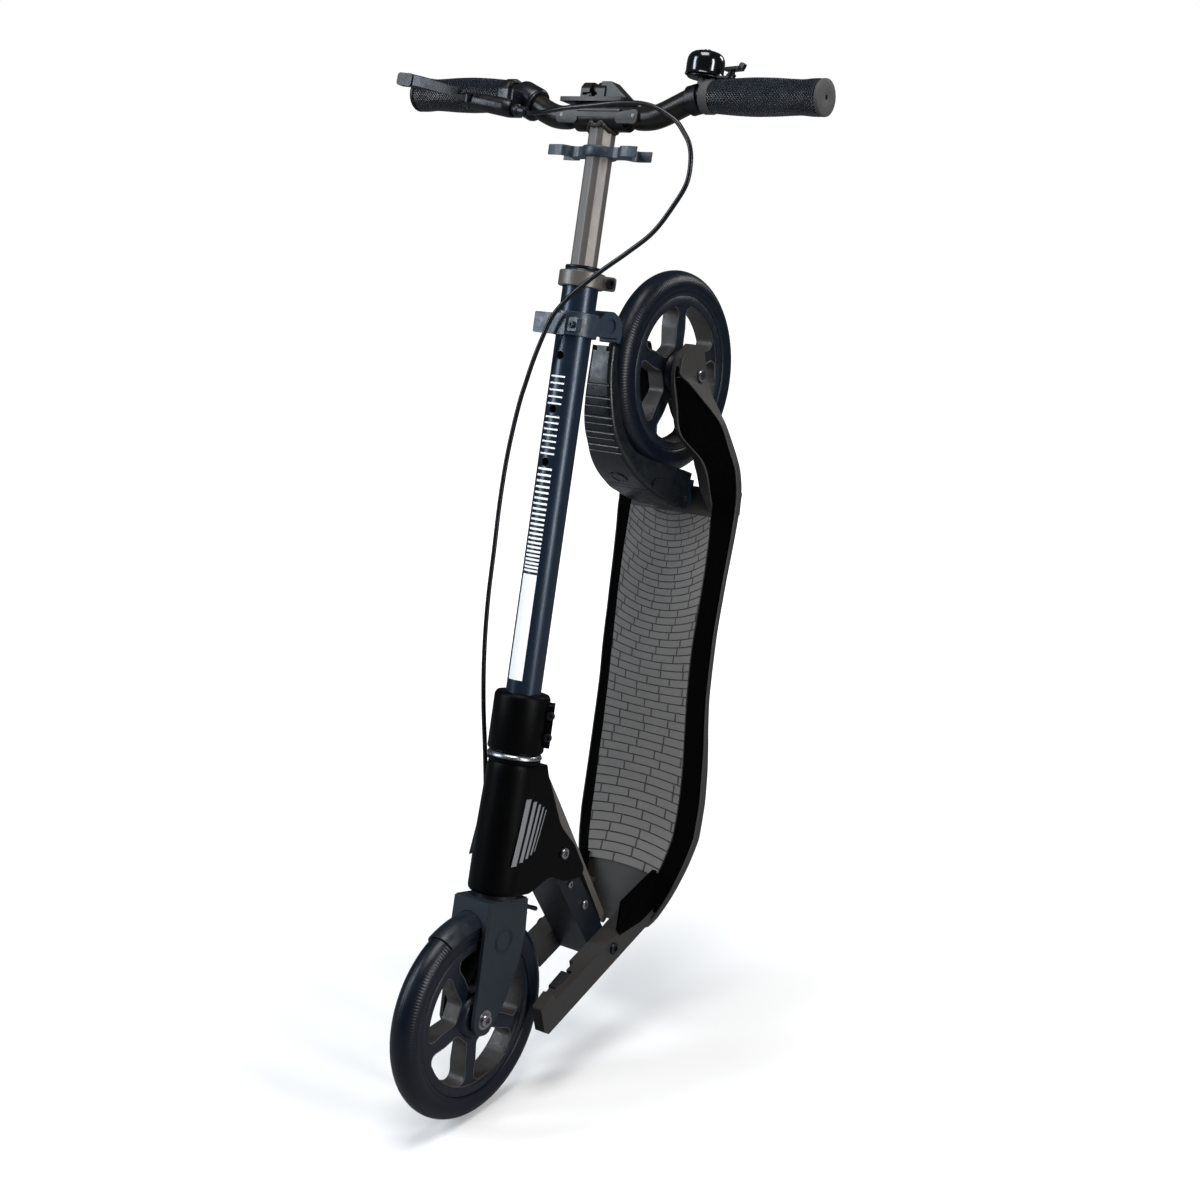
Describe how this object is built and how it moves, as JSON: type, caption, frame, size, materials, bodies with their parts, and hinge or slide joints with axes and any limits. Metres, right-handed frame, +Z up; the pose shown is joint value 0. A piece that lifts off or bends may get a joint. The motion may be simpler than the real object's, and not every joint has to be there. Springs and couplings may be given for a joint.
{
  "type": "folding kick scooter",
  "caption": "Folding kick scooter stored upright: deck raised behind the raked steering column, telescopic folding handlebar, hand brake, bell and rear fender brake.",
  "frame": {"origin": "point where the front wheel touches the ground, on the centre plane", "axes": "+X to the rider's left, +Y rearward, +Z up; the steering column leans 14 degrees rearward"},
  "size_m": [0.466, 0.5377, 0.9887],
  "materials": {
    "tyre_rubber": "satin blue-black polyurethane with fine ribs near the edge",
    "wheel_core": "dark moulded plastic, taupe window walls",
    "bearing_steel": "ground",
    "housing_black": "satin black paint",
    "frame_navy": "satin blue-black paint",
    "fork_navy": "satin blue-grey paint",
    "deck_grey": "fine textured warm dark grey paint",
    "bar_taupe": "satin taupe grey paint",
    "moulded_navy": "satin moulded",
    "moulded_black": "satin moulded",
    "bell_gloss": "high gloss black",
    "grip_rubber": "knurled",
    "cap_grey": "matt grey",
    "cable_sheath": "satin",
    "tread_sheet": "grey with curved rows of raised blocks",
    "strip_black": "matt black",
    "bolt_bright": "bright plated",
    "bolt_dark": "blackened",
    "stop_rubber": "matt"
  },
  "bodies": {
    "frame": {"head_housing": "housing_black", "head_tube": "housing_black", "folding_block": "frame_navy", "brace": "deck_grey", "lock_bolt": "bolt_bright", "block_pin_upper": "bolt_bright", "block_pin_lower": "bolt_bright"},
    "steering": {"fork": "fork_navy", "front_mudguard": "moulded_navy", "front_axle_bolt": "bolt_bright", "headset_cap": "bolt_bright", "column_tube": "frame_navy", "clamp_collar": "housing_black", "clamp_bolt_lower": "bolt_bright", "clamp_bolt_upper": "bolt_bright", "height_clamp": "bar_taupe", "height_clamp_bolt": "bolt_dark", "column_bush": "moulded_black", "catch_collar": "frame_navy", "catch_bolt": "bolt_bright", "brake_cable": "cable_sheath"},
    "stem": {"stem_tube": "bar_taupe", "bar_head": "bar_taupe", "bar_pivot_pin_left": "bar_taupe", "bar_pivot_pin_right": "bar_taupe", "grip_clip": "moulded_navy"},
    "left_bar": {"left_bar_tube": "bar_taupe", "left_grip": "grip_rubber", "left_end_cap": "cap_grey", "bell_base": "bell_gloss", "bell_dome": "bell_gloss"},
    "right_bar": {"right_bar_tube": "bar_taupe", "right_grip": "grip_rubber", "right_end_cap": "cap_grey", "brake_lever_body": "moulded_black", "barrel_adjuster": "bolt_dark"},
    "deck": {"deck": "deck_grey", "deck_grip_sheet": "tread_sheet", "deck_side_strip_left": "strip_black", "deck_side_strip_right": "strip_black", "prong_stop_left": "stop_rubber", "prong_stop_right": "stop_rubber", "fold_pivot_bolt": "bolt_bright", "rear_axle_bolt": "bolt_bright", "fender_bracket": "frame_navy", "fender_pin": "bolt_bright"},
    "front_wheel": {"front_tyre": "tyre_rubber", "front_wheel_core": "wheel_core", "front_bearing_set": "bearing_steel"},
    "rear_wheel": {"rear_tyre": "tyre_rubber", "rear_wheel_core": "wheel_core", "rear_bearing_set": "bearing_steel"},
    "fender": {"rear_fender_brake": "moulded_navy"},
    "brake_lever": {"brake_lever_blade": "moulded_navy"},
    "bell_lever": {"bell_striker": "bell_gloss"},
    "brake_arm": {"brake_arm": "moulded_black", "brake_pad": "stop_rubber"},
    "bar_lock": {"bar_lock_lever": "bar_taupe"},
    "height_button": {"height_button": "bolt_bright"},
    "fold_button": {"fold_release_button": "moulded_navy"}
  },
  "joints": [
    {"name": "steering_turn", "type": "hinge", "parent": "frame", "child": "steering", "pos_m": [0, 0.05936, 0.27321], "axis": [0, 0.2419, 0.9703], "range_deg": [-10, 10]},
    {"name": "front_wheel_spin", "type": "hinge", "parent": "steering", "child": "front_wheel", "pos_m": [0, 0, 0.1025], "axis": [1, 0, 0], "continuous": true},
    {"name": "height_slide", "type": "slide", "parent": "steering", "child": "stem", "axis": [0, 0.2419, 0.9703], "range_m": [-0.1, 0], "deforming": ["brake_cable"]},
    {"name": "left_bar_fold", "type": "hinge", "parent": "stem", "child": "left_bar", "pos_m": [0.041, 0.22266, 0.92816], "axis": [0, 0.9703, -0.2419], "range_deg": [0, 90]},
    {"name": "right_bar_fold", "type": "hinge", "parent": "stem", "child": "right_bar", "pos_m": [-0.041, 0.22266, 0.92816], "axis": [0, 0.9703, -0.2419], "range_deg": [-90, 0]},
    {"name": "bar_lock_lift", "type": "hinge", "parent": "stem", "child": "bar_lock", "pos_m": [0, 0.22689, 0.95339], "axis": [1, 0, 0], "range_deg": [0, 50], "stiffness_Nm_per_rad": 0.05, "springref_deg": -22.92},
    {"name": "height_button_press", "type": "slide", "parent": "stem", "child": "height_button", "axis": [0, 0.9703, -0.2419], "range_m": [-0.003, 0], "stiffness_N_per_m": 400, "springref_m": 0.002},
    {"name": "brake_lever_pull", "type": "hinge", "parent": "right_bar", "child": "brake_lever", "pos_m": [-0.134, 0.18704, 0.94446], "axis": [0, 0.2419, 0.9703], "range_deg": [-9, 0], "stiffness_Nm_per_rad": 0.6, "springref_deg": 14.32},
    {"name": "brake_arm_swing", "type": "hinge", "parent": "steering", "child": "brake_arm", "pos_m": [0, 0.07494, 0.18688], "axis": [1, 0, 0], "range_deg": [-6, 0]},
    {"name": "bell_lever_flick", "type": "hinge", "parent": "left_bar", "child": "bell_lever", "pos_m": [0.1325, 0.23234, 0.96697], "axis": [0, 0.2419, 0.9703], "range_deg": [0, 20], "stiffness_Nm_per_rad": 0.03, "springref_deg": -22.92},
    {"name": "deck_fold", "type": "hinge", "parent": "frame", "child": "deck", "pos_m": [0, 0.17442, 0.11466], "axis": [1, 0, 0], "range_deg": [-75.2, 0]},
    {"name": "rear_wheel_spin", "type": "hinge", "parent": "deck", "child": "rear_wheel", "pos_m": [0, 0.33317, 0.67696], "axis": [1, 0, 0], "continuous": true},
    {"name": "fender_press", "type": "hinge", "parent": "deck", "child": "fender", "pos_m": [0, 0.32064, 0.55229], "axis": [1, 0, 0], "range_deg": [-1.5, 0], "stiffness_Nm_per_rad": 8, "springref_deg": 6.88},
    {"name": "fold_button_press", "type": "slide", "parent": "frame", "child": "fold_button", "axis": [0, -0.8779, -0.4788], "range_m": [0, 0.003], "stiffness_N_per_m": 400, "springref_m": -0.002}
  ],
  "couplings": [
    {"joint": "brake_arm_swing", "follows": "brake_lever_pull", "ratio": 0.66}
  ]
}
